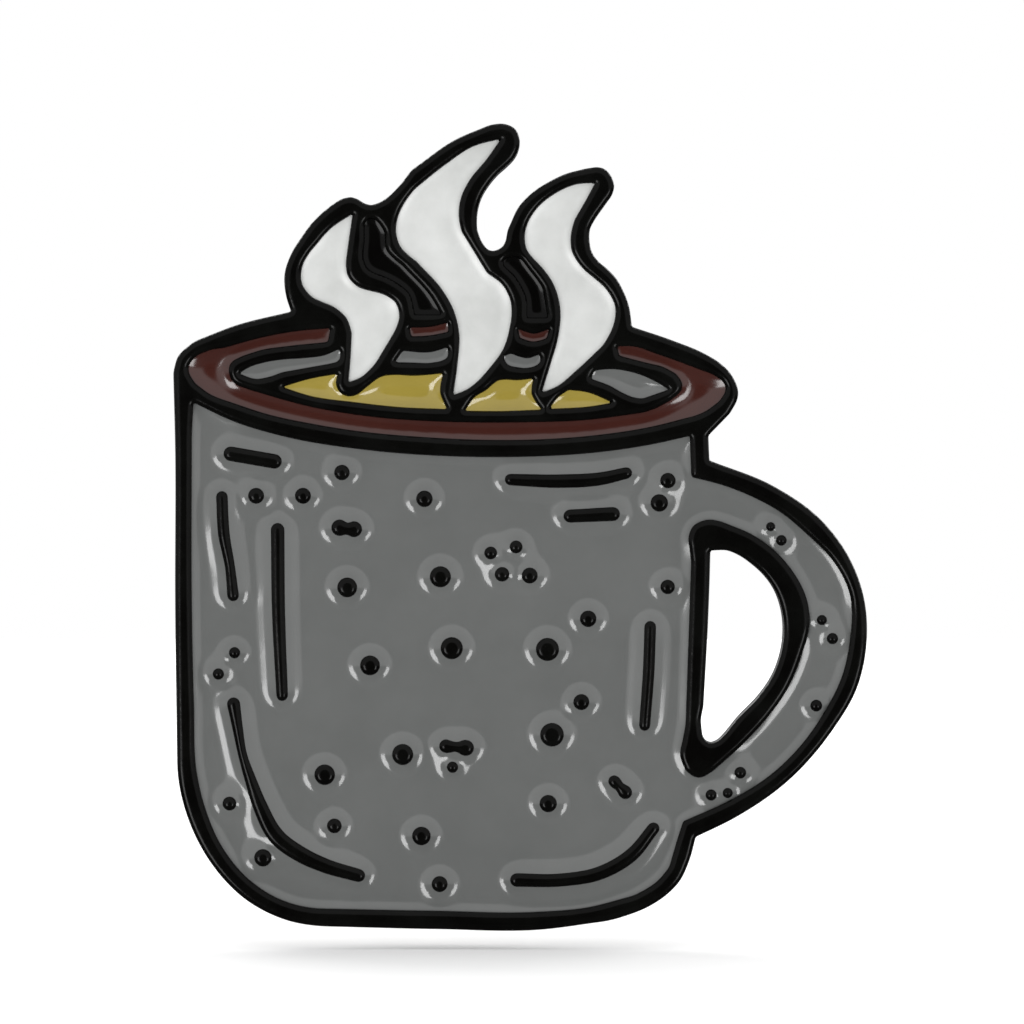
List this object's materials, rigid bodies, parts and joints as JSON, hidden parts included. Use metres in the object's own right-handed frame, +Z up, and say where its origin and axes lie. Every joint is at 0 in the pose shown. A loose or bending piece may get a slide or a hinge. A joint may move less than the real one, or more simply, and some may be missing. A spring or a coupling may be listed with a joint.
{
  "type": "enamel pin",
  "caption": "Soft-enamel lapel pin shaped as a steaming speckled mug, with nail posts on its flat back and butterfly clutches that pull off when their wings are squeezed.",
  "frame": {"origin": "on the flat back of the badge, midway between the two posts", "axes": "+Z up as the pin is worn, +Y out of the back along the posts, front faces -Y, +X to the right of someone facing the front"},
  "size_m": [0.0274, 0.0095, 0.0318],
  "materials": {
    "black_metal": "die-struck, dyed black, satin",
    "grey_enamel": "soft enamel, glossy, sunk below the lines",
    "brown_enamel": "soft enamel, glossy",
    "drink_enamel": "soft enamel, glossy",
    "pale_enamel": "soft enamel, glossy",
    "black_enamel": "soft enamel, glossy",
    "post_steel": "drawn wire, bright",
    "solder": "soldered fillet, dull",
    "nickel": "nickel-plated brass sheet",
    "spring_steel": "spring strip, plated"
  },
  "bodies": {
    "badge": {"base_plate": "black_metal", "mug_enamel": "grey_enamel", "rim_enamel": "brown_enamel", "rim_back_enamel_left": "brown_enamel", "rim_back_enamel_right": "brown_enamel", "inner_wall_enamel_1": "grey_enamel", "inner_wall_enamel_2": "grey_enamel", "inner_wall_enamel_3": "grey_enamel", "inner_wall_enamel_4": "grey_enamel", "drink_enamel_left": "drink_enamel", "drink_enamel_middle": "drink_enamel", "drink_enamel_right": "drink_enamel", "steam_enamel_left": "pale_enamel", "steam_enamel_middle": "pale_enamel", "steam_enamel_right": "pale_enamel", "black_enamel_left": "black_enamel", "black_enamel_right": "black_enamel", "post_upper": "post_steel", "post_lower": "post_steel", "solder_upper": "solder", "solder_lower": "solder"},
    "upper_cup": {"upper_clutch_cup": "nickel"},
    "upper_spring": {"upper_clutch_spring": "spring_steel"},
    "upper_wing_right": {"upper_clutch_wing_right": "nickel"},
    "upper_wing_left": {"upper_clutch_wing_left": "nickel"},
    "lower_cup": {"lower_clutch_cup": "nickel"},
    "lower_spring": {"lower_clutch_spring": "spring_steel"},
    "lower_wing_right": {"lower_clutch_wing_right": "nickel"},
    "lower_wing_left": {"lower_clutch_wing_left": "nickel"}
  },
  "joints": [
    {"name": "upper_clutch_slide", "type": "slide", "parent": "badge", "child": "upper_cup", "axis": [0, 1, 0], "range_m": [0, 0.009]},
    {"name": "upper_clutch_turn", "type": "hinge", "parent": "upper_cup", "child": "upper_spring", "pos_m": [0, 0.0006, 0.0065], "axis": [0, 1, 0], "continuous": true},
    {"name": "upper_wing_right_squeeze", "type": "hinge", "parent": "upper_spring", "child": "upper_wing_right", "pos_m": [0.00263, 0.00275, 0.0065], "axis": [0, 0, 1], "range_deg": [0, 12], "stiffness_Nm_per_rad": 0.005},
    {"name": "upper_wing_left_squeeze", "type": "hinge", "parent": "upper_spring", "child": "upper_wing_left", "pos_m": [-0.00263, 0.00275, 0.0065], "axis": [0, 0, -1], "range_deg": [0, 12], "stiffness_Nm_per_rad": 0.005},
    {"name": "lower_clutch_slide", "type": "slide", "parent": "badge", "child": "lower_cup", "axis": [0, 1, 0], "range_m": [0, 0.009]},
    {"name": "lower_clutch_turn", "type": "hinge", "parent": "lower_cup", "child": "lower_spring", "pos_m": [0, 0.0006, -0.0065], "axis": [0, 1, 0], "continuous": true},
    {"name": "lower_wing_right_squeeze", "type": "hinge", "parent": "lower_spring", "child": "lower_wing_right", "pos_m": [0.00263, 0.00275, -0.0065], "axis": [0, 0, 1], "range_deg": [0, 12], "stiffness_Nm_per_rad": 0.005},
    {"name": "lower_wing_left_squeeze", "type": "hinge", "parent": "lower_spring", "child": "lower_wing_left", "pos_m": [-0.00263, 0.00275, -0.0065], "axis": [0, 0, -1], "range_deg": [0, 12], "stiffness_Nm_per_rad": 0.005}
  ],
  "couplings": [
    {"joint": "upper_wing_left_squeeze", "follows": "upper_wing_right_squeeze", "ratio": 1},
    {"joint": "lower_wing_left_squeeze", "follows": "lower_wing_right_squeeze", "ratio": 1}
  ]
}
